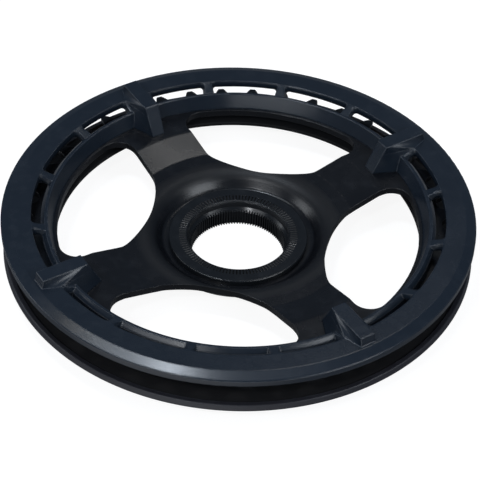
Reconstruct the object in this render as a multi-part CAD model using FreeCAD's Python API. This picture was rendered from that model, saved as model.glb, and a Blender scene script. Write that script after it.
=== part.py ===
"""Bicycle chainring with a double chain guard, for a splined drive shaft.

Frame: millimetres, +Z along the shaft axis, Z = 0 on the back face of the hub,
which is the face the ring rests on. The four arms lie at 45 degrees to X and Y.
"""
import math
import os

import FreeCAD
import Part

# Chain and teeth
tooth_count = 40
chain_pitch = 12.7
roller_seat_radius = 3.95
roller_seat_half_angle = 65.0
tooth_tip_rise = 2.77
tooth_tip_land = 2.0
tooth_flank_bulge = 0.15
tooth_bevel_length = 4.4
tooth_tip_thickness = 1.2
pitch_radius = chain_pitch / (2 * math.sin(math.pi / tooth_count))
tooth_tip_radius = pitch_radius + tooth_tip_rise

# Pressed spider and ring
sheet_thickness = 2.6
bend_radius = 2.4
ring_depth = 12.63
arm_count = 4
arm_width = 25.0
arm_flat_length = 11.0
arm_slope_length = 12.6
arm_slope_rise = 2.9
bowl_depth = 3.3
bowl_rim_radius = 33.2
bowl_wall_run = 4.4
bowl_rim_bend = 6.5
window_hub_margin = 1.1
window_scoop_radius = 52.0
window_ring_fillet_share = 0.206
window_hub_fillet_share = 0.41

# Splined hub
hub_length = 10.6
hub_flange_radius = 26.4
hub_flange_thickness = 2.4
hub_flange_round = 0.5
hub_body_radius = 24.0
hub_tail_radius = 22.6
hub_tail_round = 0.6
hub_stake_width = 0.8
hub_stake_height = 1.2
pilot_radius = 19.2
pilot_depth = 3.0
pilot_chamfer = 0.6
spline_count = 108
spline_tip_radius = 17.7
spline_depth = 0.75
spline_tip_land = 0.3
spline_root_land = 0.3
serration_inner_radius = 19.9
serration_outer_radius = 22.6
serration_width = 0.7
serration_depth = 0.35

# Outer chain guard
guard_reach = 8.07
guard_height = 7.8
guard_chamfer_width = 3.8
guard_chamfer_drop = 1.4
guard_lip_drop = 4.1
guard_lip_width = 2.5
guard_plate_thickness = 2.8
guard_edge_round = 0.4
guard_band_width = 11.3
slot_width = 5.0
slot_corner_fillet = 1.3
rim_drop = 2.0
rim_width = 1.1
rim_edge_round = 0.3
rim_foot_spread = 2.2
rim_outer_bevel = 1.5
rib_thickness = 2.0
rib_top_width = 2.6
rib_side_draft = 15.0
ribs_per_quarter = 3
lug_land_width = 11.2

# Raised lugs of the outer guard, one over each arm
lug_rise = 3.3
lug_edge_inset = 5.6
lug_top_length = 17.8
lug_top_width = 5.7
lug_outer_slope = 0.8
lug_prow_run = 5.6
lug_prow_land = 1.1
lug_foot_width = 5.0
lug_wing_width = 13.0
lug_wing_inset = 3.2
lug_wing_length = 6.0
lug_shoulder_width = 10.8
lug_shoulder_inset = 0.3
lug_shoulder_length = 0.5

# Inner chain guard
inner_guard_reach = 8.07
inner_guard_width = 19.6
inner_guard_drop = 6.15
inner_guard_thickness = 1.7
inner_guard_lip_height = 2.35
inner_guard_lip_width = 1.6
inner_guard_lip_lean = 0.9
inner_guard_edge_round = 0.4
boss_radius = 5.0

# Screws that hold both guards to the ring
screw_inset = 3.5
screw_radius = 2.0
screw_point_radius = 1.0
screw_point_length = 2.0
screw_tip_gap = 0.5
screw_head_radius = 3.6
screw_head_height = 2.4
screw_head_round = 0.8
screw_recess_radius = 4.1
screw_through_clearance = 0.25
screw_thread_clearance = 0.05
screw_tip_cover = 3.2
screw_socket_width = 3.0
screw_socket_depth = 1.5
screw_socket_sides = 6

# Radii that follow from the chain
ring_inner_radius = pitch_radius - ring_depth
arm_slope_outer_radius = ring_inner_radius - arm_flat_length
arm_slope_inner_radius = arm_slope_outer_radius - arm_slope_length
window_inner_radius = bowl_rim_radius + window_hub_margin
window_depth = ring_inner_radius - window_inner_radius
screw_circle_radius = ring_inner_radius + screw_inset
guard_radius = pitch_radius + guard_reach
slot_outer_radius = guard_radius - guard_band_width
slot_inner_radius = slot_outer_radius - slot_width
rim_inner_radius = slot_inner_radius - rim_width
inner_guard_radius = pitch_radius + inner_guard_reach

# Heights above the back face of the hub
hub_seat_height = hub_length - hub_flange_thickness
disc_height = hub_length + bowl_depth
ring_height = disc_height + arm_slope_rise
ring_back_height = ring_height - sheet_thickness
guard_face_height = ring_height + guard_height
rim_top_height = guard_face_height - rim_drop
lug_height = guard_face_height + lug_rise
inner_guard_back = ring_back_height - inner_guard_drop
screw_tip_height = lug_height - screw_tip_cover

# Shortest line that is drawn, so that two arcs may meet in a point
least_edge = 1e-6
up = FreeCAD.Vector(0, 0, 1)
origin = FreeCAD.Vector(0, 0, 0)


def vec(x, y, z=0.0):
    return FreeCAD.Vector(x, y, z)


def rounded_face(corners, place):
    """Closed outline with a radius at each corner; place maps (a, b) to a point in space."""
    count = len(corners)
    starts = []
    ends = []
    middles = []
    for i, (a, b, radius) in enumerate(corners):
        here = vec(a, b)
        before = (vec(*corners[i - 1][:2]) - here).normalize()
        after = (vec(*corners[(i + 1) % count][:2]) - here).normalize()
        if radius <= 0:
            starts.append(here)
            ends.append(here)
            middles.append(None)
            continue
        half = before.getAngle(after) / 2
        reach = radius / math.tan(half)
        bisector = (before + after).normalize()
        starts.append(here + before * reach)
        ends.append(here + after * reach)
        middles.append(here + bisector * (radius / math.sin(half) - radius))
    edges = []
    for i in range(count):
        if middles[i] is not None:
            arc = [place(p.x, p.y) for p in (starts[i], middles[i], ends[i])]
            edges.append(Part.Arc(*arc).toShape())
        a = ends[i]
        b = starts[(i + 1) % count]
        if (b - a).Length > least_edge:
            edges.append(Part.LineSegment(place(a.x, a.y), place(b.x, b.y)).toShape())
    return Part.Face(Part.Wire(edges))


def turned(corners):
    """Solid of revolution about Z from (radius, height, corner radius) points."""
    face = rounded_face(corners, lambda r, z: vec(r, 0, z))
    return face.revolve(origin, up, 360)


def around(shape, angles):
    """Copies of a shape turned about Z."""
    copies = []
    for angle in angles:
        copy = shape.copy()
        copy.rotate(origin, up, angle)
        copies.append(copy)
    return copies


def upright_edges(solid):
    """Edges along Z, or leaning no more than a rib's side, from the nearest to the axis to the farthest."""
    found = []
    for edge in solid.Edges:
        rise = edge.Vertexes[-1].Point - edge.Vertexes[0].Point
        if abs(rise.z) > rise.Length * math.cos(math.radians(2 * rib_side_draft)) and rise.Length > 0:
            middle = edge.CenterOfMass
            found.append((math.hypot(middle.x, middle.y), edge))
    found.sort(key=lambda pair: pair[0])
    return [edge for distance, edge in found]


def at_angle(angle, radial, tangent, height=0.0):
    """Point given along and across a radial line at the angle, in radians."""
    c = math.cos(angle)
    s = math.sin(angle)
    return vec(radial * c - tangent * s, radial * s + tangent * c, height)


def bulged(start, end, bulge):
    """Arc between two points that stands off the chord, to the right of its direction."""
    across = (end - start).normalize().cross(up)
    return Part.Arc(start, (start + end) * 0.5 + across * bulge, end).toShape()


def arm_angles():
    return [(i + 0.5) * 360.0 / arm_count for i in range(arm_count)]


def window_angles():
    return [i * 360.0 / arm_count for i in range(arm_count)]


def tooth_outline():
    """Outline of the toothed ring, with a tooth on the X axis."""
    step = 2 * math.pi / tooth_count
    seat = math.radians(roller_seat_half_angle)
    seat_end_radial = pitch_radius - roller_seat_radius * math.cos(seat)
    seat_end_tangent = roller_seat_radius * math.sin(seat)
    tip_tangent = tooth_tip_land / 2
    tip_radial = math.sqrt(tooth_tip_radius ** 2 - tip_tangent ** 2)
    edges = []
    for i in range(tooth_count):
        tooth = i * step
        gap = tooth + step / 2
        tip_start = at_angle(tooth, tip_radial, -tip_tangent)
        tip_middle = at_angle(tooth, tooth_tip_radius, 0)
        tip_end = at_angle(tooth, tip_radial, tip_tangent)
        seat_start = at_angle(gap, seat_end_radial, -seat_end_tangent)
        seat_middle = at_angle(gap, pitch_radius - roller_seat_radius, 0)
        seat_end = at_angle(gap, seat_end_radial, seat_end_tangent)
        next_tip = at_angle(tooth + step, tip_radial, -tip_tangent)
        edges.append(Part.Arc(tip_start, tip_middle, tip_end).toShape())
        edges.append(bulged(tip_end, seat_start, tooth_flank_bulge))
        edges.append(Part.Arc(seat_start, seat_middle, seat_end).toShape())
        edges.append(bulged(seat_end, next_tip, tooth_flank_bulge))
    return Part.Face(Part.Wire(edges))


def offset_below(points, distance):
    """The same bent line one sheet thickness lower, with mitred bends."""
    normals = []
    for a, b in zip(points, points[1:]):
        length = math.hypot(b[0] - a[0], b[1] - a[1])
        normals.append(((b[1] - a[1]) / length, -(b[0] - a[0]) / length))
    moved = []
    for i, (r, z) in enumerate(points):
        before = normals[max(i - 1, 0)]
        after = normals[min(i, len(normals) - 1)]
        total = (before[0] + after[0], before[1] + after[1])
        share = 2 * distance / (total[0] ** 2 + total[1] ** 2)
        moved.append((r + total[0] * share, z + total[1] * share))
    return moved


def spider_blank():
    """The pressed sheet before punching: hub floor, bowl, disc, sloping arms and ring."""
    bevel_start = tooth_tip_radius - tooth_bevel_length
    rim_radius = tooth_tip_radius + sheet_thickness
    tip_drop = (sheet_thickness - tooth_tip_thickness) / 2
    top = [
        (hub_body_radius, hub_seat_height),
        (bowl_rim_radius - bowl_wall_run, hub_seat_height),
        (bowl_rim_radius, disc_height),
        (arm_slope_inner_radius, disc_height),
        (arm_slope_outer_radius, ring_height),
        (rim_radius, ring_height),
    ]
    bottom = offset_below(top, sheet_thickness)
    outer = [
        (bevel_start, ring_height, 0),
        (tooth_tip_radius, ring_height - tip_drop, 0),
        (rim_radius, ring_height - tip_drop, 0),
        (rim_radius, ring_back_height + tip_drop, 0),
        (tooth_tip_radius, ring_back_height + tip_drop, 0),
        (bevel_start, ring_back_height, 0),
    ]
    wide = bend_radius + sheet_thickness
    upper_bends = [0, bend_radius, bowl_rim_bend, bend_radius, wide]
    lower_bends = [0, wide, bowl_rim_bend - sheet_thickness, wide, bend_radius]
    upper = [(r, z, bend) for (r, z), bend in zip(top, upper_bends)]
    lower = [(r, z, bend) for (r, z), bend in zip(bottom, lower_bends)]
    return turned(upper + outer + lower[::-1])


def window_tool():
    """Punch for one opening between two arms, centred on the X axis."""
    height = guard_face_height
    half_span = math.pi / arm_count
    apex = arm_width / 2 / math.sin(half_span)
    reach = guard_radius * 2
    spread = (reach - apex) * math.tan(half_span)
    wedge = Part.Face(Part.makePolygon([vec(apex, 0), vec(reach, -spread), vec(reach, spread), vec(apex, 0)]))
    scoop = Part.makeCylinder(window_scoop_radius, height, vec(window_inner_radius + window_scoop_radius, 0))
    disc = Part.makeCylinder(ring_inner_radius, height)
    tool = disc.common(scoop).common(wedge.extrude(vec(0, 0, height))).removeSplitter()
    hub_fillet = window_depth * window_hub_fillet_share
    ring_fillet = window_depth * window_ring_fillet_share
    tool = tool.makeFillet(hub_fillet, upright_edges(tool)[:2])
    return tool.makeFillet(ring_fillet, upright_edges(tool)[-2:])


def make_chainring():
    ring = spider_blank()
    ring = ring.cut(Part.makeCompound(around(window_tool(), window_angles())))
    ring = ring.common(tooth_outline().extrude(vec(0, 0, guard_face_height)))
    hole_radius = screw_radius + screw_through_clearance
    hole = Part.makeCylinder(hole_radius, guard_face_height, vec(screw_circle_radius, 0))
    return ring.cut(Part.makeCompound(around(hole, arm_angles())))


def spline_gaps(top_height):
    """Star-shaped broach that leaves the splines standing in the bore."""
    step = 2 * math.pi / spline_count
    root_radius = spline_tip_radius + spline_depth
    half_tip = spline_tip_land / 2 / spline_tip_radius
    half_root = spline_root_land / 2 / root_radius
    points = []
    for i in range(spline_count):
        spline = i * step
        gap = spline + step / 2
        points.append(at_angle(spline - half_tip, spline_tip_radius, 0))
        points.append(at_angle(spline + half_tip, spline_tip_radius, 0))
        points.append(at_angle(gap - half_root, root_radius, 0))
        points.append(at_angle(gap + half_root, root_radius, 0))
    return Part.Face(Part.makePolygon(points + points[:1])).extrude(vec(0, 0, top_height))


def serrations():
    """V-grooves on the face of the hub, in line with the gaps of the splines."""
    half = serration_width / 2
    corners = [
        vec(serration_inner_radius, -half, hub_length),
        vec(serration_inner_radius, half, hub_length),
        vec(serration_inner_radius, 0, hub_length - serration_depth),
    ]
    groove = Part.Face(Part.makePolygon(corners + corners[:1]))
    groove = groove.extrude(vec(serration_outer_radius - serration_inner_radius, 0))
    step = 360.0 / spline_count
    return around(groove, [(i + 0.5) * step for i in range(spline_count)])


def make_hub():
    sheet_back = hub_seat_height - sheet_thickness
    stake_end = sheet_back - hub_stake_height
    pilot_end = hub_length - pilot_depth
    lead_in_end = pilot_end - (pilot_radius - spline_tip_radius)
    hub = turned([
        (spline_tip_radius, 0, 0),
        (hub_tail_radius, 0, hub_tail_round),
        (hub_tail_radius, stake_end, 0),
        (hub_body_radius + hub_stake_width, stake_end, 0),
        (hub_body_radius + hub_stake_width, sheet_back, 0),
        (hub_body_radius, sheet_back, 0),
        (hub_body_radius, hub_seat_height, 0),
        (hub_flange_radius, hub_seat_height, 0),
        (hub_flange_radius, hub_length, hub_flange_round),
        (pilot_radius + pilot_chamfer, hub_length, 0),
        (pilot_radius, hub_length - pilot_chamfer, 0),
        (pilot_radius, pilot_end, 0),
        (spline_tip_radius, lead_in_end, 0),
    ])
    hub = hub.cut(spline_gaps(pilot_end))
    return hub.cut(Part.makeCompound(serrations()))


def guard_ring():
    """Plate, sloping web and inner rim of the outer guard, before its slots."""
    under = guard_face_height - guard_plate_thickness
    rib_under = rim_top_height - rib_thickness
    rim_outer_radius = slot_inner_radius + rim_outer_bevel
    rim_under = rib_under + (under - rib_under) * rim_outer_bevel / slot_width
    lip = guard_face_height - guard_lip_drop
    lip_inner = guard_radius - guard_lip_width
    return turned([
        (guard_radius, lip, guard_edge_round),
        (guard_radius, guard_face_height - guard_chamfer_drop, guard_edge_round),
        (guard_radius - guard_chamfer_width, guard_face_height, guard_edge_round),
        (slot_outer_radius, guard_face_height, 0),
        (slot_inner_radius, rim_top_height, 0),
        (rim_inner_radius, rim_top_height, rim_edge_round),
        (rim_inner_radius - rim_foot_spread, ring_height, 0),
        (rim_outer_radius, ring_height, 0),
        (rim_outer_radius, rim_under, 0),
        (slot_outer_radius, under, 0),
        (lip_inner - guard_lip_drop + guard_plate_thickness, under, 0),
        (lip_inner, lip, guard_edge_round),
    ])


def beyond(angle, side, height):
    """Block to one side of a radial plane at the angle, leaning with the sides of the ribs."""
    size = guard_radius * 2
    block = Part.makeBox(size, size, size, vec(0, 0 if side > 0 else -size, -size / 2))
    block.rotate(origin, vec(1, 0), side * rib_side_draft)
    block.rotate(origin, up, math.degrees(angle))
    block.translate(vec(0, 0, height))
    return block


def slot_tool(start, end, base, top):
    """Opening of the guard between two angles, in radians, with a bevel down from the rim."""
    band = turned([
        (slot_inner_radius, top, 0),
        (slot_inner_radius, rim_top_height, 0),
        (slot_inner_radius + rim_outer_bevel, rim_top_height - rim_outer_bevel, 0),
        (slot_inner_radius + rim_outer_bevel, base, 0),
        (slot_outer_radius, base, 0),
        (slot_outer_radius, top, 0),
    ])
    tool = band.common(beyond(start, 1, top)).common(beyond(end, -1, top))
    return tool.makeFillet(slot_corner_fillet, upright_edges(tool)[-2:])


def slot_tools():
    """Openings between the ribs, over one quarter that starts at a lug on the X axis."""
    top = guard_face_height
    base = rim_top_height - rib_thickness
    middle_radius = (slot_inner_radius + slot_outer_radius) / 2
    pitch = 2 * math.pi / arm_count / (ribs_per_quarter + 1)
    half_rib = rib_top_width / 2 / middle_radius
    half_land = lug_land_width / 2 / middle_radius
    tools = []
    for i in range(ribs_per_quarter + 1):
        start = i * pitch + (half_land if i == 0 else half_rib)
        end = (i + 1) * pitch - (half_land if i == ribs_per_quarter else half_rib)
        tools.append(slot_tool(start, end, base, top))
    return tools


def outline_at(height, half_outline):
    """Closed outline at a height from (radius, half width) points, mirrored across the X axis."""
    points = [vec(r, w, height) for r, w in half_outline]
    points += [vec(r, -w, height) for r, w in reversed(half_outline)]
    return Part.makePolygon(points + points[:1])


def lug():
    """Raised bar on the X axis, with flanks that widen towards the slots and a prow that meets the arm."""
    top_outer_radius = guard_radius - lug_edge_inset
    top_inner_radius = top_outer_radius - lug_top_length
    foot_radius = top_inner_radius - lug_prow_run
    wing_radius = slot_inner_radius - lug_wing_inset
    wing_half = lug_wing_width / 2
    top_half = lug_top_width / 2
    shoulder_radius = slot_outer_radius - lug_shoulder_inset
    shoulder_half = lug_shoulder_width / 2
    rise = (guard_face_height - ring_height) / (lug_height - ring_height)
    tip_radius = foot_radius + lug_prow_run * rise
    tip_half = (lug_foot_width + (lug_top_width - lug_foot_width) * rise) / 2
    foot = [
        (foot_radius, lug_foot_width / 2),
        (wing_radius, wing_half),
        (wing_radius + lug_wing_length, wing_half),
    ]
    lower_shoulder = [
        (tip_radius, tip_half),
        (shoulder_radius - lug_shoulder_length, shoulder_half),
        (shoulder_radius, shoulder_half),
    ]
    upper_shoulder = [
        (tip_radius, tip_half),
        (shoulder_radius, shoulder_half),
        (top_outer_radius + lug_outer_slope, top_half),
    ]
    crest = [
        (top_inner_radius, top_half),
        (top_inner_radius + lug_prow_land, top_half),
        (top_outer_radius, top_half),
    ]
    lower = [outline_at(ring_height, foot), outline_at(guard_face_height, lower_shoulder)]
    upper = [outline_at(guard_face_height, upper_shoulder), outline_at(lug_height, crest)]
    return Part.makeLoft(lower, True, True).fuse(Part.makeLoft(upper, True, True))


def make_outer_guard():
    slots = []
    for tool in slot_tools():
        slots += around(tool, arm_angles())
    guard = guard_ring().cut(Part.makeCompound(slots))
    guard = guard.fuse(around(lug(), arm_angles()))
    hole = Part.makeCylinder(screw_radius + screw_thread_clearance, screw_tip_height - ring_height,
                             vec(screw_circle_radius, 0, ring_height))
    return guard.cut(Part.makeCompound(around(hole, arm_angles())))


def make_inner_guard():
    bore_radius = inner_guard_radius - inner_guard_width
    face = inner_guard_back + inner_guard_thickness
    lip_top = inner_guard_back + inner_guard_lip_height
    lip_outer = inner_guard_radius - inner_guard_lip_lean
    lip_inner = lip_outer - inner_guard_lip_width
    guard = turned([
        (bore_radius, inner_guard_back, inner_guard_edge_round),
        (inner_guard_radius, inner_guard_back, inner_guard_edge_round),
        (lip_outer, lip_top, inner_guard_edge_round),
        (lip_inner, lip_top, 0),
        (lip_inner - inner_guard_lip_height + inner_guard_thickness, face, 0),
        (bore_radius, face, inner_guard_edge_round),
    ])
    boss = Part.makeCylinder(boss_radius, inner_guard_drop, vec(screw_circle_radius, 0, inner_guard_back))
    guard = guard.fuse(around(boss, arm_angles())).removeSplitter()
    through = Part.makeCylinder(screw_radius + screw_through_clearance, inner_guard_drop,
                                vec(screw_circle_radius, 0, inner_guard_back))
    recess = Part.makeCylinder(screw_recess_radius, screw_head_height,
                               vec(screw_circle_radius, 0, inner_guard_back))
    return guard.cut(Part.makeCompound(around(through.fuse(recess), arm_angles())))


def make_screws():
    head_top = inner_guard_back + screw_head_height
    tip = screw_tip_height - screw_tip_gap
    screw = turned([
        (0, inner_guard_back, 0),
        (screw_head_radius, inner_guard_back, screw_head_round),
        (screw_head_radius, head_top, 0),
        (screw_radius, head_top, 0),
        (screw_radius, tip - screw_point_length, 0),
        (screw_point_radius, tip, 0),
        (0, tip, 0),
    ])
    step = 2 * math.pi / screw_socket_sides
    corner = screw_socket_width / 2 / math.cos(step / 2)
    hexagon = [at_angle(step * i, corner, 0, inner_guard_back) for i in range(screw_socket_sides + 1)]
    socket = Part.Face(Part.makePolygon(hexagon)).extrude(vec(0, 0, screw_socket_depth))
    screw = screw.cut(socket)
    screw.translate(vec(screw_circle_radius, 0))
    return Part.makeCompound(around(screw, arm_angles()))


def main():
    os.makedirs("parts", exist_ok=True)
    nodes = {
        "chainring": make_chainring(),
        "splined_hub": make_hub(),
        "outer_guard": make_outer_guard(),
        "inner_guard": make_inner_guard(),
        "guard_screws": make_screws(),
    }
    for name, shape in nodes.items():
        print(name, "valid", shape.isValid(), "solids", len(shape.Solids), "volume", round(shape.Volume, 1))
        shape.exportStep(f"parts/{name}.step")


main()
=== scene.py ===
import math
import bmesh
import bpy
from mathutils import Matrix, Vector


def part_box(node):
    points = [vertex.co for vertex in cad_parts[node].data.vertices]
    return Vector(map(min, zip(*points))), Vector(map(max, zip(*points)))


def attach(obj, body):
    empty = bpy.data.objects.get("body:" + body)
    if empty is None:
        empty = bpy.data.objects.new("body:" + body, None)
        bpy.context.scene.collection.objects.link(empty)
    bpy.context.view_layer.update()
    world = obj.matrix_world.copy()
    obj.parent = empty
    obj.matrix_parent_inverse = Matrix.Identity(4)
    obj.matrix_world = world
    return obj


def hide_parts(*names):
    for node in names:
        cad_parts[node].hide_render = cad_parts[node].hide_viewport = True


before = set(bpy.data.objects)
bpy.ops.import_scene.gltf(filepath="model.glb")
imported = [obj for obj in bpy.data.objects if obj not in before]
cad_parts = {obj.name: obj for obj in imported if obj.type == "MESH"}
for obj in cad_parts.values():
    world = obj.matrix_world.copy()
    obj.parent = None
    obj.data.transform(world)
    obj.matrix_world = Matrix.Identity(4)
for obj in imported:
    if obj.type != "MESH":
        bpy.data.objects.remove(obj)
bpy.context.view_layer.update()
print("stage: frame loaded with", len(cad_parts), "nodes")

white = (1.0, 1.0, 1.0)
bevelSamples = 6
mixSockets = {"factor": 0, "first": 6, "second": 7, "result": 2}  # colour sockets of a Mix node


def feed(tree, socket, value):
    if hasattr(value, "links"):  # a socket of another node
        tree.links.new(value, socket)
    else:
        socket.default_value = value


def newGroup(name, inputs, outputs):
    tree = bpy.data.node_groups.new(name, "ShaderNodeTree")
    for label, value in inputs.items():
        socket = tree.interface.new_socket(label, in_out="INPUT", socket_type="NodeSocketFloat")
        socket.default_value = value
    for label, kind in outputs.items():
        tree.interface.new_socket(label, in_out="OUTPUT", socket_type=kind)
    return tree, tree.nodes.new("NodeGroupInput"), tree.nodes.new("NodeGroupOutput")


def addNode(tree, kind, **values):
    node = tree.nodes.new(kind)
    for key, value in values.items():
        setattr(node, key, value)
    return node


def addPlace(tree):
    return addNode(tree, "ShaderNodeTexCoord").outputs["Object"]


def addNormal(tree):
    return addNode(tree, "ShaderNodeNewGeometry").outputs["Normal"]


def addMath(tree, operation, first, second):
    node = addNode(tree, "ShaderNodeMath", operation=operation)
    feed(tree, node.inputs[0], first)
    feed(tree, node.inputs[1], second)
    return node.outputs[0]


def addDot(tree, first, second):
    node = addNode(tree, "ShaderNodeVectorMath", operation="DOT_PRODUCT")
    feed(tree, node.inputs[0], first)
    feed(tree, node.inputs[1], second)
    return node.outputs["Value"]


def addRange(tree, source, low, high, toLow=0.0, toHigh=1.0):
    node = addNode(tree, "ShaderNodeMapRange", clamp=True)
    for socket, value in zip(node.inputs, (source, low, high, toLow, toHigh)):
        feed(tree, socket, value)
    return node.outputs[0]


def addNoise(tree, scale, detail):
    node = addNode(tree, "ShaderNodeTexNoise")
    feed(tree, node.inputs["Vector"], addPlace(tree))
    feed(tree, node.inputs["Scale"], scale)
    feed(tree, node.inputs["Detail"], detail)
    return node.outputs["Fac"]


def addBevel(tree, radius):
    node = addNode(tree, "ShaderNodeBevel", samples=bevelSamples)
    feed(tree, node.inputs["Radius"], radius)
    return node.outputs["Normal"]


def addMix(tree, factor, first, second):
    node = addNode(tree, "ShaderNodeMix", data_type="RGBA")
    feed(tree, node.inputs[mixSockets["factor"]], factor)
    for key, colour in (("first", first), ("second", second)):
        value = colour if hasattr(colour, "links") else (*colour, 1.0)
        feed(tree, node.inputs[mixSockets[key]], value)
    return node.outputs[mixSockets["result"]]


# worn edges, partly painted highlights along the edges: where the rounded normal leaves the flat one,
# broken up into patches
edgeWearAndHighlightForm = {
    "edgeFrom": 0.998,  # cosine of the turn at which wear starts
    "edgeTo": 0.93,  # and at which it is full
    "patchDetail": 4.0,
    "patchFrom": 0.38,
    "patchTo": 0.62,
}


def edgeWearAndHighlightGroup(form):
    inputs = {"Radius": 0.0004, "Breakup": 300.0, "Amount": 0.5}
    tree, source, sink = newGroup("edgeWearAndHighlight", inputs, {"Mask": "NodeSocketFloat"})
    turn = addDot(tree, addBevel(tree, source.outputs["Radius"]), addNormal(tree))
    edge = addRange(tree, turn, form["edgeFrom"], form["edgeTo"])
    noise = addNoise(tree, source.outputs["Breakup"], form["patchDetail"])
    patches = addRange(tree, noise, form["patchFrom"], form["patchTo"])
    worn = addMath(tree, "MULTIPLY", edge, patches)
    mask = addMath(tree, "MULTIPLY", worn, source.outputs["Amount"])
    tree.links.new(mask, sink.inputs["Mask"])
    return tree


fineGrainForm = {"grainDetail": 2.0, "cloudDetail": 5.0}


def fineGrainGroup(form):
    inputs = {"Scale": 2500.0, "Cloud Scale": 40.0}
    outputs = {"Height": "NodeSocketFloat", "Cloud": "NodeSocketFloat"}
    tree, source, sink = newGroup("fineGrain", inputs, outputs)
    height = addNoise(tree, source.outputs["Scale"], form["grainDetail"])
    cloud = addNoise(tree, source.outputs["Cloud Scale"], form["cloudDetail"])
    tree.links.new(height, sink.inputs["Height"])
    tree.links.new(cloud, sink.inputs["Cloud"])
    return tree


# dust lies on what faces up, in specks
dustFilmForm = {
    "facingFrom": 0.2,
    "facingTo": 1.0,
    "speckDetail": 8.0,
    "speckFrom": 0.5,
    "speckTo": 0.75,
}


def dustFilmGroup(form):
    inputs = {"Scale": 180.0, "Amount": 0.1}
    tree, source, sink = newGroup("dustFilm", inputs, {"Mask": "NodeSocketFloat"})
    split = addNode(tree, "ShaderNodeSeparateXYZ")
    tree.links.new(addNormal(tree), split.inputs[0])
    facing = addRange(tree, split.outputs["Z"], form["facingFrom"], form["facingTo"])
    noise = addNoise(tree, source.outputs["Scale"], form["speckDetail"])
    specks = addRange(tree, noise, form["speckFrom"], form["speckTo"])
    film = addMath(tree, "MULTIPLY", facing, specks)
    mask = addMath(tree, "MULTIPLY", film, source.outputs["Amount"])
    tree.links.new(mask, sink.inputs["Mask"])
    return tree


softEdgeForm = {"bumpDistance": 0.0001}


def softEdgeGroup(form):
    inputs = {"Radius": 0.0003, "Height": 0.0, "Strength": 0.1}
    tree, source, sink = newGroup("softEdge", inputs, {"Normal": "NodeSocketVector"})
    bump = addNode(tree, "ShaderNodeBump")
    bump.inputs["Distance"].default_value = form["bumpDistance"]
    tree.links.new(source.outputs["Strength"], bump.inputs["Strength"])
    tree.links.new(source.outputs["Height"], bump.inputs["Height"])
    tree.links.new(addBevel(tree, source.outputs["Radius"]), bump.inputs["Normal"])
    tree.links.new(bump.outputs["Normal"], sink.inputs["Normal"])
    return tree


# a ring about the axis, between two radii and two heights
def ringZoneGroup():
    inputs = {"Inner Radius": 0.0, "Outer Radius": 0.1, "Low": 0.0, "High": 0.1, "Softness": 0.00005}
    tree, source, sink = newGroup("ringZone", inputs, {"Mask": "NodeSocketFloat"})
    values = source.outputs
    split = addNode(tree, "ShaderNodeSeparateXYZ")
    tree.links.new(addPlace(tree), split.inputs[0])
    squares = [addMath(tree, "MULTIPLY", split.outputs[axis], split.outputs[axis]) for axis in ("X", "Y")]
    distance = addMath(tree, "POWER", addMath(tree, "ADD", *squares), 0.5)  # the square root
    pastInner = addMath(tree, "SUBTRACT", distance, values["Inner Radius"])
    beforeOuter = addMath(tree, "SUBTRACT", values["Outer Radius"], distance)
    outside = addRange(tree, pastInner, 0.0, values["Softness"])
    inside = addRange(tree, beforeOuter, 0.0, values["Softness"])
    above = addMath(tree, "GREATER_THAN", split.outputs["Z"], values["Low"])
    below = addMath(tree, "LESS_THAN", split.outputs["Z"], values["High"])
    ring = addMath(tree, "MULTIPLY", outside, inside)
    layer = addMath(tree, "MULTIPLY", above, below)
    tree.links.new(addMath(tree, "MULTIPLY", ring, layer), sink.inputs["Mask"])
    return tree


groups = {
    "edgeWearAndHighlight": edgeWearAndHighlightGroup(edgeWearAndHighlightForm),
    "ringZone": ringZoneGroup(),
    "fineGrain": fineGrainGroup(fineGrainForm),
    "dustFilm": dustFilmGroup(dustFilmForm),
    "softEdge": softEdgeGroup(softEdgeForm),
}
print("stage: shader groups made")


def useGroup(tree, name, values):
    node = tree.nodes.new("ShaderNodeGroup")
    node.node_tree = groups[name]
    for label, value in values.items():
        feed(tree, node.inputs[label], value)
    return node


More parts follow.
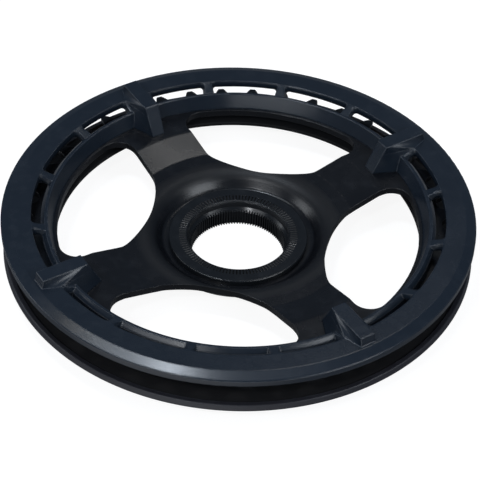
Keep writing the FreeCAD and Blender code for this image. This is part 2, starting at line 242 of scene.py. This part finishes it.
def coatedMaterial(name, look):
    material = bpy.data.materials.new(name)
    material.use_nodes = True
    tree = material.node_tree
    shader = tree.nodes["Principled BSDF"]
    grain = useGroup(tree, "fineGrain", {"Scale": look["grainScale"], "Cloud Scale": look["cloudScale"]})
    cloud = grain.outputs["Cloud"]
    wearAndHighlight = useGroup(tree, "edgeWearAndHighlight", {
        "Radius": look["wearAndHighlightRadius"],
        "Breakup": look["wearAndHighlightBreakup"],
        "Amount": look["wearAndHighlightAmount"],
    })
    dust = useGroup(tree, "dustFilm", {"Scale": look["dustScale"], "Amount": look["dustAmount"]})
    colour = addMix(tree, cloud, look["darkColour"], look["paleColour"])
    # lighter edges: wear, and on the guards also a painted highlight along the edges
    colour = addMix(tree, wearAndHighlight.outputs["Mask"], colour, look["wearAndHighlightColour"])
    colour = addMix(tree, dust.outputs["Mask"], colour, look["dustColour"])
    rough = addRange(tree, cloud, look["cloudFrom"], look["cloudTo"], look["roughLow"], look["roughHigh"])
    if "bandZone" in look:  # a ring whose colour and gloss are set apart from the rest: painted shade on the inner guard's plate and in the hub's serration grooves, a duller gloss at the rim of the chainring's bowl
        band = useGroup(tree, "ringZone", look["bandZone"]).outputs["Mask"]
        colour = addMix(tree, band, colour, look["bandColour"])
        rough = addRange(tree, band, 0.0, 1.0, rough, look["bandRough"])
    edgeRadius = look["edgeRadius"]
    if "roundZone" in look:  # a ring where the edges are rounder
        rounder = useGroup(tree, "ringZone", look["roundZone"]).outputs["Mask"]
        edgeRadius = addRange(tree, rounder, 0.0, 1.0, look["edgeRadius"], look["roundRadius"])
    edge = useGroup(tree, "softEdge", {
        "Radius": edgeRadius,
        "Height": grain.outputs["Height"],
        "Strength": look["grainStrength"],
    })
    tree.links.new(colour, shader.inputs["Base Color"])
    tree.links.new(rough, shader.inputs["Roughness"])
    tree.links.new(edge.outputs["Normal"], shader.inputs["Normal"])
    shader.inputs["Metallic"].default_value = look["metallic"]
    shader.inputs["Specular IOR Level"].default_value = look["specular"]
    return material


def dress(node, material):
    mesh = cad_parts[node].data
    mesh.materials.clear()
    mesh.materials.append(material)


# what the finishes share, lengths in metres
coatLook = {
    "darkColour": (0.0069, 0.0109, 0.0174),
    "paleColour": (0.0098, 0.0149, 0.0231),
    # the edge colour: wear, and on the guards also a painted highlight along the edges
    "wearAndHighlightColour": (0.15, 0.165, 0.19),
    "dustColour": (0.16, 0.17, 0.19),
    "grainScale": 2600.0,
    "grainStrength": 0.16,
    "cloudScale": 60.0,
    "cloudFrom": 0.3,
    "cloudTo": 0.7,
    "wearAndHighlightRadius": 0.00045,
    "wearAndHighlightBreakup": 260.0,
    "wearAndHighlightAmount": 0.28,
    "dustScale": 220.0,
    "dustAmount": 0.03,
    "edgeRadius": 0.0008,
    "roughLow": 0.22,
    "roughHigh": 0.27,
    "metallic": 0.0,
    "specular": 0.38,
}

outerGuardLook = {
    **coatLook,
    "roundZone": {  # the ribs, clear of the bevel on the inner edge of the slots
        "Inner Radius": 0.0746,
        "Outer Radius": 0.0782,
        "Low": 0.0140,
        "High": 0.0250,
        "Softness": 0.0006,
    },
    "roundRadius": 0.0020,
}
dress("outer_guard", coatedMaterial("outerGuardCoat", outerGuardLook))

innerGuardLook = {
    **coatLook,
    "darkColour": (0.012, 0.012, 0.016),
    "paleColour": (0.018, 0.018, 0.023),
    # more of the lighter edge colour: a painted highlight along the guard's edges, such as the top edge of
    # the lip
    "wearAndHighlightAmount": 0.5,
    "roughLow": 0.38,
    "roughHigh": 0.46,
    "specular": 0.35,
    "edgeRadius": 0.0005,
    "bandZone": {"Inner Radius": 0.0, "Outer Radius": 0.0863, "Low": 0.0, "High": 0.02},  # all but the lip: the plate under the outer guard, painted darker and duller as painted shade
    "bandColour": (0.003, 0.003, 0.004),
    "bandRough": 0.75,
}
innerGuardForm = {
    "width": 0.0196,
    "thickness": 0.0017,
    "lipHeight": 0.00235,
    "lipWidth": 0.0016,
    "lipLean": 0.0009,
    "edgeRound": 0.0004,
    "roundSteps": 5,
    "turnSteps": 320,
    "bossCount": 4,
    "firstBoss": math.radians(45),
    "bossRadius": 0.005,
    "bossSteps": 64,
    "screwHeadRadius": 0.0036,
    "recessRadius": 0.0041,
    "recessDepth": 0.0024,
    "holeRadius": 0.00225,
    "cutMargin": 0.001,
    "sharpAngle": math.radians(35),
}


# each corner is a radius, a height and the radius of its rounding
def roundedOutline(corners, steps):
    points = []
    for index, (radius, height, bend) in enumerate(corners):
        here = Vector((radius, height))
        before = (Vector(corners[index - 1][:2]) - here).normalized()
        after = (Vector(corners[(index + 1) % len(corners)][:2]) - here).normalized()
        if bend == 0:
            points.append(here)
            continue
        half = before.angle(after) / 2
        middle = here + (before + after).normalized() * (bend / math.sin(half))
        first = here + before * (bend / math.tan(half)) - middle
        last = here + after * (bend / math.tan(half)) - middle
        for step in range(steps + 1):
            share = step / steps
            points.append(middle + first.lerp(last, share).normalized() * bend)
    return points


def innerGuardOutline(form, back, outer):
    bore = outer - form["width"]
    face = back + form["thickness"]
    lipTop = back + form["lipHeight"]
    lipOuter = outer - form["lipLean"]
    lipInner = lipOuter - form["lipWidth"]
    lipFoot = lipInner - (lipTop - face)  # the lip falls to the face at 45 degrees
    corners = [
        (bore, back, form["edgeRound"]),
        (outer, back, form["edgeRound"]),
        (lipOuter, lipTop, form["edgeRound"]),
        (lipInner, lipTop, 0),
        (lipFoot, face, 0),
        (bore, face, form["edgeRound"]),
    ]
    return roundedOutline(corners, form["roundSteps"])


def turnedMesh(name, outline, steps):
    count = len(outline)
    corners = []
    faces = []
    for step in range(steps):
        angle = 2 * math.pi * step / steps
        corners += [(point.x * math.cos(angle), point.x * math.sin(angle), point.y) for point in outline]
        here = step * count
        beside = (step + 1) % steps * count
        for index in range(count):
            following = (index + 1) % count
            faces.append((here + index, beside + index, beside + following, here + following))
    mesh = bpy.data.meshes.new(name)
    mesh.from_pydata(corners, [], faces)
    return mesh


# upright round bars, one at each boss
def roundBars(name, form, circle, radius, low, high):
    bars = bmesh.new()
    for turn in range(form["bossCount"]):
        angle = form["firstBoss"] + 2 * math.pi * turn / form["bossCount"]
        place = Vector((circle * math.cos(angle), circle * math.sin(angle), (low + high) / 2))
        bmesh.ops.create_cone(
            bars, cap_ends=True, segments=form["bossSteps"], radius1=radius, radius2=radius,
            depth=high - low, matrix=Matrix.Translation(place),
        )
    mesh = bpy.data.meshes.new(name)
    bars.to_mesh(mesh)
    bars.free()
    obj = bpy.data.objects.new(name, mesh)
    bpy.context.scene.collection.objects.link(obj)
    return obj


# the mesh with its modifiers applied
def settledMesh(piece):
    bpy.context.view_layer.update()
    shape = piece.evaluated_get(bpy.context.evaluated_depsgraph_get())
    mesh = bpy.data.meshes.new_from_object(shape)
    piece.modifiers.clear()
    piece.data = mesh
    return mesh


def cutBosses(piece, form, back, bossTop):
    # the screws' box ends at the edge of a head
    circle = (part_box("guard_screws")[1][0] - form["screwHeadRadius"]) / math.cos(form["firstBoss"])
    under = back - form["cutMargin"]
    over = bossTop + form["cutMargin"]
    changes = {
        "bosses": ("UNION", form["bossRadius"], back, bossTop),
        "recesses": ("DIFFERENCE", form["recessRadius"], under, back + form["recessDepth"]),
        "holes": ("DIFFERENCE", form["holeRadius"], under, over),
    }
    helpers = []
    for name, (operation, radius, start, end) in changes.items():
        helper = roundBars(name, form, circle, radius, start, end)
        change = piece.modifiers.new(name, "BOOLEAN")
        change.operation = operation
        change.solver = "EXACT"
        change.object = helper
        helpers.append(helper)
    mesh = settledMesh(piece)
    for helper in helpers:
        bpy.data.objects.remove(helper)
    return mesh


# a smooth turned ring stands for the node, whose facets don't line up along its lower edge
def makeInnerGuard(form, material):
    low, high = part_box("inner_guard")
    back, bossTop = low[2], high[2]
    outline = innerGuardOutline(form, back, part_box("outer_guard")[1][0])
    ring = turnedMesh("innerGuardRing", outline, form["turnSteps"])
    piece = bpy.data.objects.new("innerGuardRing", ring)
    bpy.context.scene.collection.objects.link(piece)
    mesh = cutBosses(piece, form, back, bossTop)
    mesh.shade_smooth()
    mesh.set_sharp_from_angle(angle=form["sharpAngle"])
    weighted = piece.modifiers.new("weighted", "WEIGHTED_NORMAL")
    weighted.keep_sharp = True
    mesh = settledMesh(piece)
    mesh.materials.clear()
    mesh.materials.append(material)
    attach(piece, "root")
    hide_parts("inner_guard")
    print("stage: inner guard turned with", len(mesh.polygons), "faces")


makeInnerGuard(innerGuardForm, coatedMaterial("innerGuardCoat", innerGuardLook))

steelLook = {
    **coatLook,
    "darkColour": (0.0030, 0.0036, 0.0052),
    "paleColour": (0.0048, 0.0056, 0.0077),
    "wearAndHighlightColour": (0.1, 0.1, 0.1),
    "wearAndHighlightAmount": 0.15,
    "wearAndHighlightRadius": 0.0004,
    "grainScale": 1800.0,
    "grainStrength": 0.2,
    "roughLow": 0.24,
    "roughHigh": 0.3,
    "specular": 0.34,
    "edgeRadius": 0.00045,
}

chainringLook = {
    **steelLook,
    "bandZone": {  # the bend at the rim of the bowl
        "Inner Radius": 0.0305,
        "Outer Radius": 0.0400,
        "Low": 0.0095,
        "High": 0.0170,
        "Softness": 0.0030,
    },
    "bandColour": (0.0033, 0.0039, 0.0055),
    "bandRough": 0.5,
}
dress("chainring", coatedMaterial("springSteelBlack", chainringLook))

hubLook = {
    **steelLook,
    "darkColour": (0.0050, 0.0060, 0.0076),
    "paleColour": (0.0075, 0.0088, 0.0108),
    "wearAndHighlightColour": (0.12, 0.125, 0.135),
    "wearAndHighlightRadius": 0.00015,
    "roughLow": 0.17,
    "roughHigh": 0.23,
    "edgeRadius": 0.0001,
    # the grooves of the serrations, painted darker and duller: painted shade in the grooves
    "bandZone": {"Inner Radius": 0.0198, "Outer Radius": 0.0227, "Low": 0.0100, "High": 0.01055},
    "bandColour": (0.0015, 0.0015, 0.002),
    "bandRough": 0.5,
    # the land at the mouth of the bore
    "roundZone": {"Inner Radius": 0.0, "Outer Radius": 0.0198, "Low": 0.0078, "High": 0.0110},
    "roundRadius": 0.003,
}
dress("splined_hub", coatedMaterial("hubSteelBlack", hubLook))

screwLook = {
    **steelLook,
    "darkColour": (0.05, 0.05, 0.052),
    "paleColour": (0.08, 0.08, 0.082),
    "metallic": 0.7,
}
dress("guard_screws", coatedMaterial("screwBlackOxide", screwLook))
print("stage: materials assigned")

# the photograph's front is turned from the part's own
photoTurn = Matrix.Rotation(math.radians(11.6), 3, "Z")
guardFace = Vector((0, 0, 0.0246))  # the camera and the lamps are placed from here

# the camera's shifts and distance are counted in radii of the guard
view = {
    "guardRadius": 0.089,
    "lens": 131.262,
    "sensorWidth": 36.0,
    "elevation": math.radians(42.052),
    "roll": math.radians(2.065),
    "shiftRight": 0.00887,
    "shiftUp": -0.14306,
    "distance": 7.37372,
    "clipStart": 0.05,
    "clipEnd": 20.0,
}


def makeCamera(view):
    back = Vector((0, -math.cos(view["elevation"]), math.sin(view["elevation"])))
    right = Vector((1, 0, 0))
    up = Vector((0, math.sin(view["elevation"]), math.cos(view["elevation"])))
    rolledRight = right * math.cos(view["roll"]) + up * math.sin(view["roll"])
    rolledUp = up * math.cos(view["roll"]) - right * math.sin(view["roll"])
    eye = back * view["distance"] + right * view["shiftRight"] + up * view["shiftUp"]
    axes = [photoTurn @ axis for axis in (rolledRight, rolledUp, back)]
    spot = photoTurn @ (eye * view["guardRadius"]) + guardFace
    data = bpy.data.cameras.new("photoCamera")
    data.sensor_width = view["sensorWidth"]
    data.lens = view["lens"]
    data.clip_start = view["clipStart"]
    data.clip_end = view["clipEnd"]
    camera = bpy.data.objects.new("photoCamera", data)
    camera.matrix_world = Matrix.Translation(spot) @ Matrix(axes).transposed().to_4x4()
    bpy.context.scene.collection.objects.link(camera)
    bpy.context.scene.camera = camera


makeCamera(view)

floorLook = {
    "size": 6.0,
    "gap": 0.0002,
    "colour": (0.2, 0.2, 0.205),
    "rough": 0.9,
    "specular": 0.0,
    "glow": 0.9,
    "brightToward": (-0.3, -0.95, 0.0),  # reflections see the glow on this side
    "shadeReach": 0.088,
    "openReach": 0.115,
    "shadedShare": 0.03,  # how much of the glow they see elsewhere; under the part this dimming is a painted shade of the part on the floor
}


def makeFloor(look):
    half = look["size"] / 2
    level = -look["gap"]
    mesh = bpy.data.meshes.new("paleFloor")
    corners = [(-half, -half, level), (half, -half, level), (half, half, level), (-half, half, level)]
    mesh.from_pydata(corners, [], [(0, 1, 2, 3)])
    floor = bpy.data.objects.new("paleFloor", mesh)
    bpy.context.scene.collection.objects.link(floor)
    material = bpy.data.materials.new("paleFloor")
    material.use_nodes = True
    tree = material.node_tree
    shader = tree.nodes["Principled BSDF"]
    shader.inputs["Base Color"].default_value = (*look["colour"], 1.0)
    shader.inputs["Roughness"].default_value = look["rough"]
    shader.inputs["Specular IOR Level"].default_value = look["specular"]
    rays = tree.nodes.new("ShaderNodeLightPath")
    reach = addDot(tree, addPlace(tree), photoTurn @ Vector(look["brightToward"]))
    # under the part, reflections see only a small share of the glow: a painted shade on the floor
    share = addRange(tree, reach, look["shadeReach"], look["openReach"], look["shadedShare"], 1.0)
    glossy = addMath(tree, "MULTIPLY", rays.outputs["Is Glossy Ray"], share)
    seen = addMath(tree, "MAXIMUM", rays.outputs["Is Camera Ray"], glossy)
    glow = addMath(tree, "MULTIPLY", seen, look["glow"])
    shader.inputs["Emission Color"].default_value = (*white, 1.0)
    tree.links.new(glow, shader.inputs["Emission Strength"])
    # clear from below
    side = addNode(tree, "ShaderNodeNewGeometry").outputs["Backfacing"]
    tree.links.new(addMath(tree, "SUBTRACT", 1.0, side), shader.inputs["Alpha"])
    mesh.materials.append(material)


makeFloor(floorLook)

worldLook = {"colour": (0.52, 0.66, 0.86), "strength": 0.185}


# white to the camera, a dim blue room to the part
def makeWorld(look):
    world = bpy.data.worlds.new("studioRoom")
    bpy.context.scene.world = world
    world.use_nodes = True
    tree = world.node_tree
    background = tree.nodes["Background"]
    seen = tree.nodes.new("ShaderNodeLightPath").outputs["Is Camera Ray"]
    colour = addMix(tree, seen, look["colour"], white)
    strength = addRange(tree, seen, 0.0, 1.0, look["strength"], 1.0)
    tree.links.new(colour, background.inputs["Color"])
    tree.links.new(strength, background.inputs["Strength"])


makeWorld(worldLook)


def makeLamp(name, lamp):
    data = bpy.data.lights.new(name, "AREA")
    data.shape = "RECTANGLE"
    data.size = lamp["wide"]
    data.size_y = lamp["tall"]
    data.energy = lamp["energy"]
    data.color = lamp["colour"]
    obj = bpy.data.objects.new(name, data)
    toward = (photoTurn @ Vector(lamp["toward"])).normalized()
    obj.location = guardFace + toward * lamp["distance"]
    obj.rotation_mode = "QUATERNION"
    along = photoTurn @ Vector((math.cos(lamp["spin"]), math.sin(lamp["spin"]), 0))
    across = toward.cross(along).normalized()
    axes = Matrix((across.cross(toward), across, toward)).transposed()
    obj.rotation_quaternion = axes.to_quaternion()
    bpy.context.scene.collection.objects.link(obj)


lamps = {
    "overheadBox": {  # glow along the front of the guard's chamfer
        "toward": (-0.215, 0.003, 0.976),
        "distance": 1.0,
        "wide": 0.13,
        "tall": 0.1,
        "spin": math.radians(152),
        "energy": 2.3,
        "colour": (0.82, 0.9, 1.0),
    },
    "overheadTail": {  # the glow's tail to the left
        "toward": (-0.37, 0.08, 0.93),
        "distance": 1.0,
        "wide": 0.26,
        "tall": 0.09,
        "spin": math.radians(152),
        "energy": 1.0,
        "colour": (0.84, 0.92, 1.0),
    },
    "overheadWash": {  # its faint end on the right
        "toward": (0.1, 0.0, 0.995),
        "distance": 1.0,
        "wide": 0.32,
        "tall": 0.12,
        "spin": 0.0,
        "energy": 0.16,
        "colour": (0.82, 0.9, 1.0),
    },
    "warmCorner": {  # its warm end on the left
        "toward": (-0.5, 0.18, 0.847),
        "distance": 1.0,
        "wide": 0.06,
        "tall": 0.1,
        "spin": math.radians(152),
        "energy": 0.16,
        "colour": (1.0, 0.92, 0.76),
    },
    "frontFill": {  # flanks that face front right
        "toward": (0.71, -0.50, 0.50),
        "distance": 1.2,
        "wide": 0.7,
        "tall": 0.36,
        "spin": math.radians(53),
        "energy": 5.6,
        "colour": (0.9, 0.95, 1.0),
    },
    "backFill": {  # gentle slopes that face the front
        "toward": (0.155, 0.47, 0.868),
        "distance": 1.3,
        "wide": 0.25,
        "tall": 0.25,
        "spin": 0.0,
        "energy": 1.2,
        "colour": (1.0, 0.99, 0.97),
    },
    "cameraSoft": {  # flanks that face front left
        "toward": (-0.5, -0.59, 0.63),
        "distance": 1.1,
        "wide": 0.6,
        "tall": 0.25,
        "spin": math.radians(-40),
        "energy": 2.0,
        "colour": (0.93, 0.96, 1.0),
    },
    "cameraSpark": {  # a spark on the mouth of the bore
        "toward": (-0.3, -0.62, 0.727),
        "distance": 1.1,
        "wide": 0.09,
        "tall": 0.08,
        "spin": 0.0,
        "energy": 1.7,
        "colour": (0.95, 0.97, 1.0),
    },
    "bowlBox": {  # the crescent in the bowl
        "toward": (0.60, -0.18, 0.78),
        "distance": 1.1,
        "wide": 0.2,
        "tall": 0.2,
        "spin": 0.0,
        "energy": 0.9,
        "colour": (0.95, 0.97, 1.0),
    },
    "frontLow": {  # upright walls that face the front
        "toward": (-0.3, -0.95, 0.06),
        "distance": 1.1,
        "wide": 1.0,
        "tall": 0.12,
        "spin": math.radians(-17),
        "energy": 1.9,
        "colour": (0.9, 0.95, 1.0),
    },
    "leftStrip": {  # flanks that face left
        "toward": (-0.95, 0.08, 0.31),
        "distance": 1.1,
        "wide": 0.5,
        "tall": 0.26,
        "spin": math.radians(90),
        "energy": 1.9,
        "colour": (0.92, 0.96, 1.0),
    },
}
for lampName, lampValues in lamps.items():
    makeLamp(lampName, lampValues)

bpy.context.scene.view_settings.view_transform = "Standard"
print("stage: camera, floor, world and lamps made")
